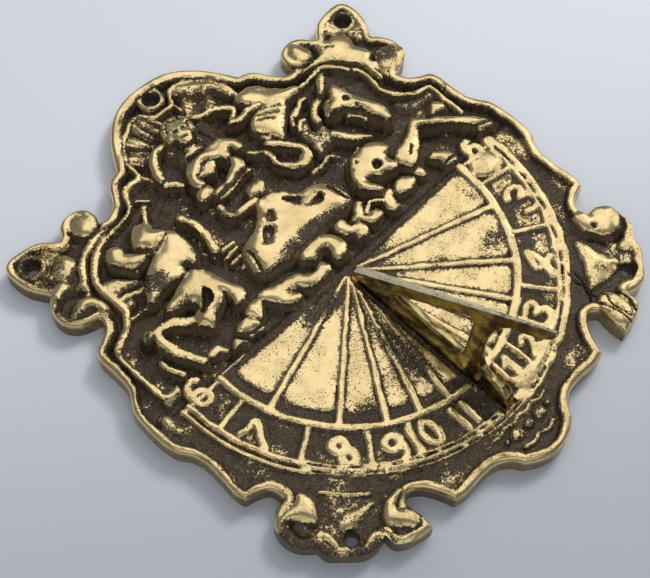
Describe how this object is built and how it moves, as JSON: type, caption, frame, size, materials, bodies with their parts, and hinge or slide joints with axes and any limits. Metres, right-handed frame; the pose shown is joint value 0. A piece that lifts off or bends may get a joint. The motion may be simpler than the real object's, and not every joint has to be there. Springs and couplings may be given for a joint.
{
  "type": "wall sundial",
  "caption": "Cast brass relief sundial plaque with an hour scale, scrolled ears with screw holes, and a separate gnomon held by screws from behind.",
  "frame": {"origin": "on the flat back, behind the centre of the hour arcs, where the style edge meets the dial", "axes": "+Z out of the face, +Y up as the plaque hangs on its wall, +X to the right as seen from the front; the hour marks for the morning are on the -X side"},
  "size_m": [0.2232, 0.2521, 0.0856],
  "materials": {
    "cast_brass": "cast and relieved: polished high parts, dark brown patina in the hollows",
    "gnomon_brass": "satin, toned olive",
    "screw_brass": "plain machined"
  },
  "bodies": {
    "root": {"dial_plate": "cast_brass", "gnomon": "gnomon_brass", "gnomon_screw_root": "screw_brass", "gnomon_screw_toe": "screw_brass", "gnomon_washer_root": "screw_brass", "gnomon_washer_toe": "screw_brass"}
  },
  "joints": []
}
